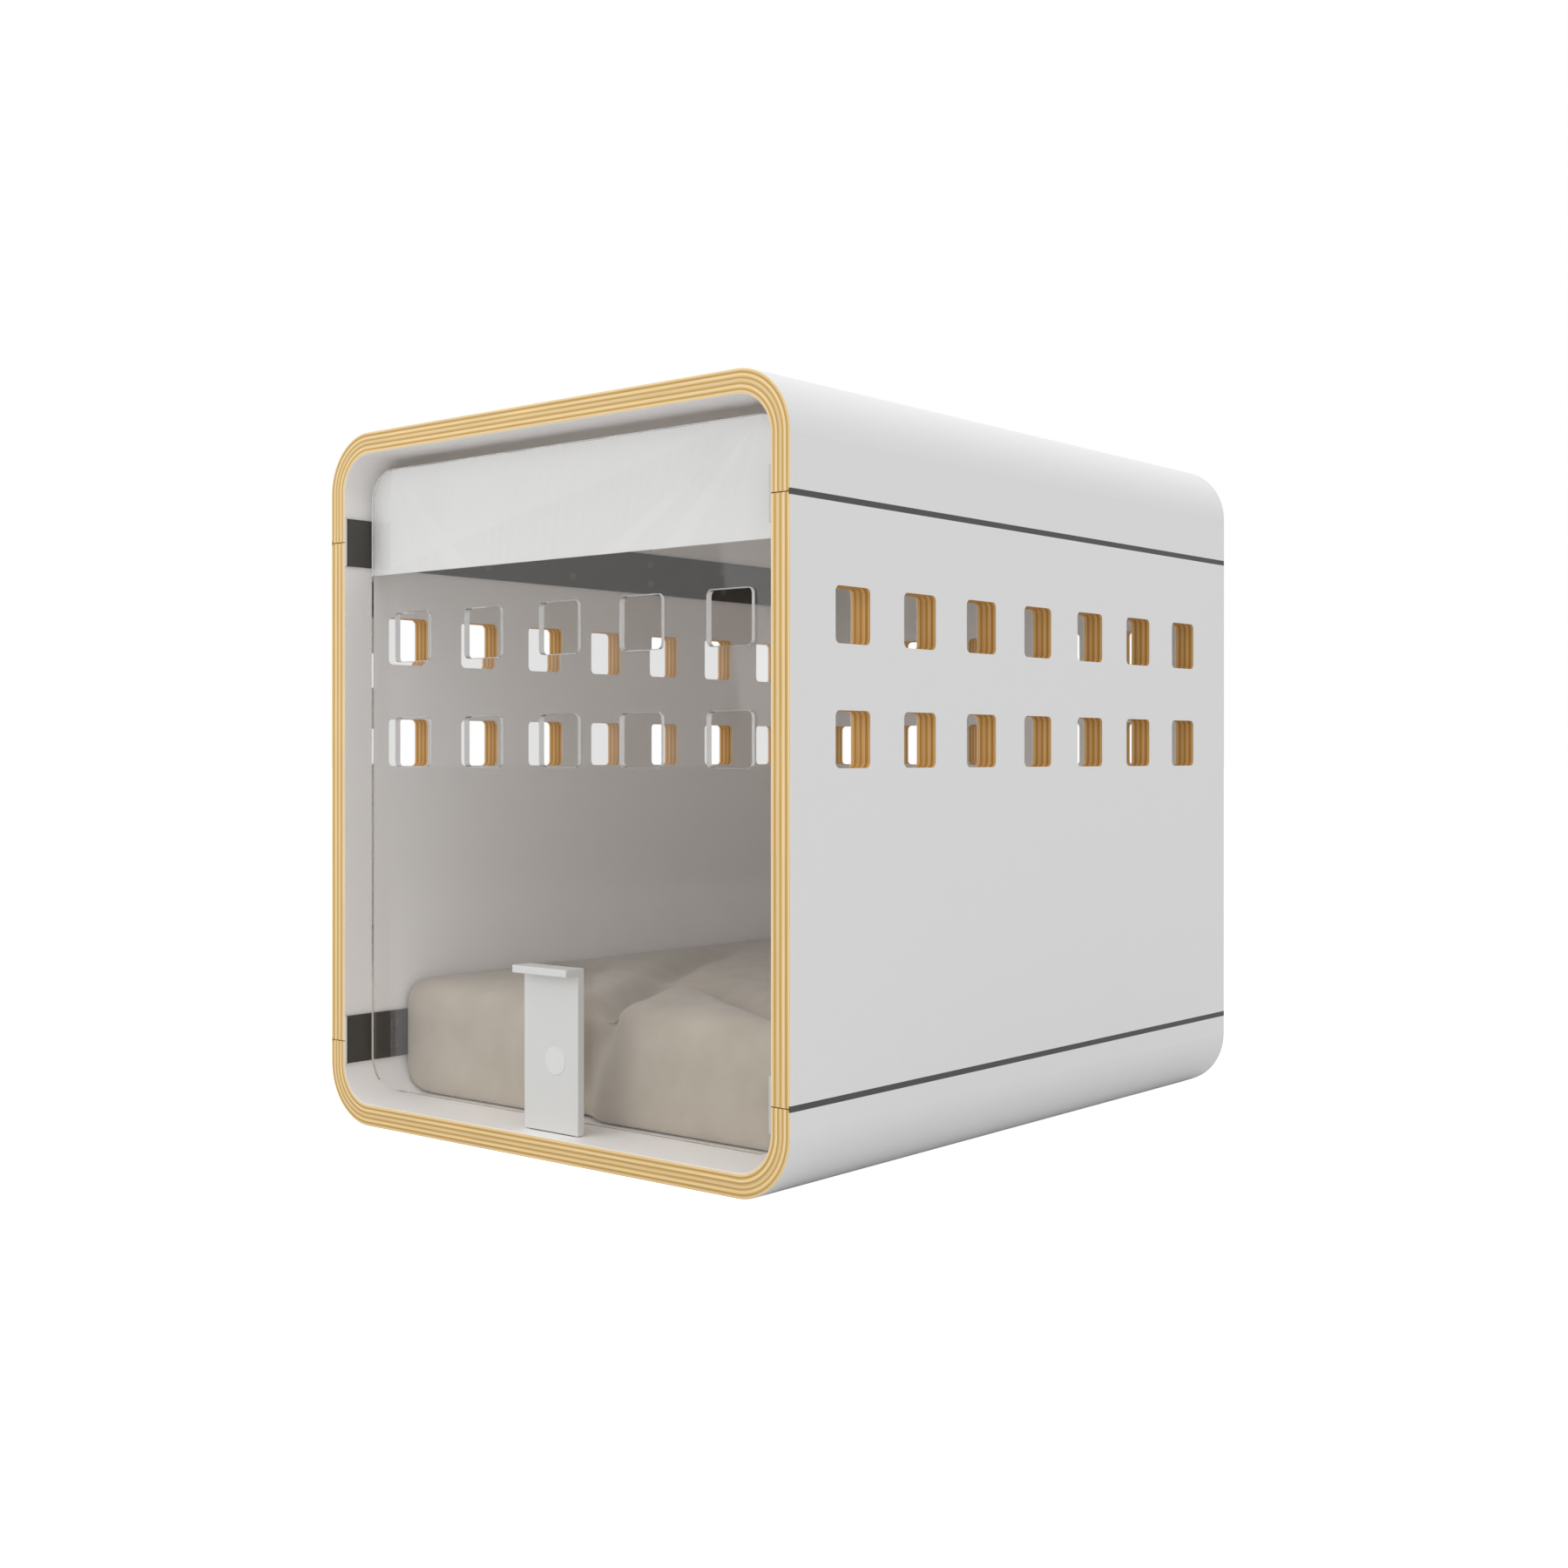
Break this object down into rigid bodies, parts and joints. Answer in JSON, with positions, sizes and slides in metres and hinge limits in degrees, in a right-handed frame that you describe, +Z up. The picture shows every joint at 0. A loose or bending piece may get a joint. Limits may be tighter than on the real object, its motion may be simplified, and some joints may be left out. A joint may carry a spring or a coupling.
{
  "type": "pet crate",
  "caption": "Bentwood plywood pet crate with vented walls, a padded floor and a clear vented gate that swings up and slides back under the roof, held by a lift latch.",
  "frame": {"origin": "middle of the crate's footprint, on the floor it stands on", "axes": "+Z up, the gate faces -Y, +X to the right of someone who looks at the gate"},
  "size_m": [0.455, 0.576, 0.521],
  "materials": {
    "laminated_ply": "white laminate faces, bare birch edges",
    "dark_steel": "satin charcoal powder coat",
    "bead": "charcoal extruded trim",
    "zinc_screw": "dark zinc plated",
    "beech_dowel": "turned beech",
    "aluminium_track": "satin anodised",
    "nylon": "natural moulded nylon",
    "axle_steel": "ground bright steel",
    "clear_acrylic": "clear polished acrylic",
    "white_metal": "white powder coat",
    "white_plastic": "white moulded cap",
    "magnet": "nickel plated",
    "cushion_cover": "taupe brushed woven cover"
  },
  "bodies": {
    "root": {"top_shell": "laminated_ply", "bottom_shell": "laminated_ply", "left_side_panel": "laminated_ply", "right_side_panel": "laminated_ply", "back_panel": "laminated_ply", "back_panel_dowels": "beech_dowel", "upper_left_joiner": "dark_steel", "upper_right_joiner": "dark_steel", "lower_left_joiner": "dark_steel", "lower_right_joiner": "dark_steel", "joiner_screws": "zinc_screw", "upper_left_bead": "bead", "upper_right_bead": "bead", "lower_left_bead": "bead", "lower_right_bead": "bead", "left_track": "aluminium_track", "right_track": "aluminium_track", "track_screws": "zinc_screw", "gate_rests": "nylon", "gate_rest_screws": "zinc_screw", "latch_strike": "axle_steel", "cushion": "cushion_cover"},
    "carriage": {"pivot_axle": "axle_steel", "left_glide": "nylon", "right_glide": "nylon", "axle_clips": "zinc_screw"},
    "gate": {"gate_sheet": "clear_acrylic", "gate_header": "white_metal", "left_hanger": "white_metal", "right_hanger": "white_metal", "left_bushing": "nylon", "right_bushing": "nylon", "hanger_studs": "axle_steel", "hanger_nuts": "zinc_screw", "latch_guide": "axle_steel", "latch_guide_nut": "white_plastic"},
    "latch": {"latch_plate": "white_metal", "latch_cap": "white_plastic", "latch_magnets": "magnet"}
  },
  "joints": [
    {"name": "gate_slide", "type": "slide", "parent": "root", "child": "carriage", "axis": [0, 1, 0], "range_m": [0, 0.2952]},
    {"name": "gate_tilt", "type": "hinge", "parent": "carriage", "child": "gate", "pos_m": [0, -0.251, 0.4685], "axis": [-1, 0, 0], "range_deg": [0, 90]},
    {"name": "latch_lift", "type": "slide", "parent": "gate", "child": "latch", "axis": [0, 0, 1], "range_m": [0, 0.006]}
  ],
  "couplings": [
    {"joint": "gate_slide", "follows": "gate_tilt", "m_per_rad": 0.1878}
  ]
}
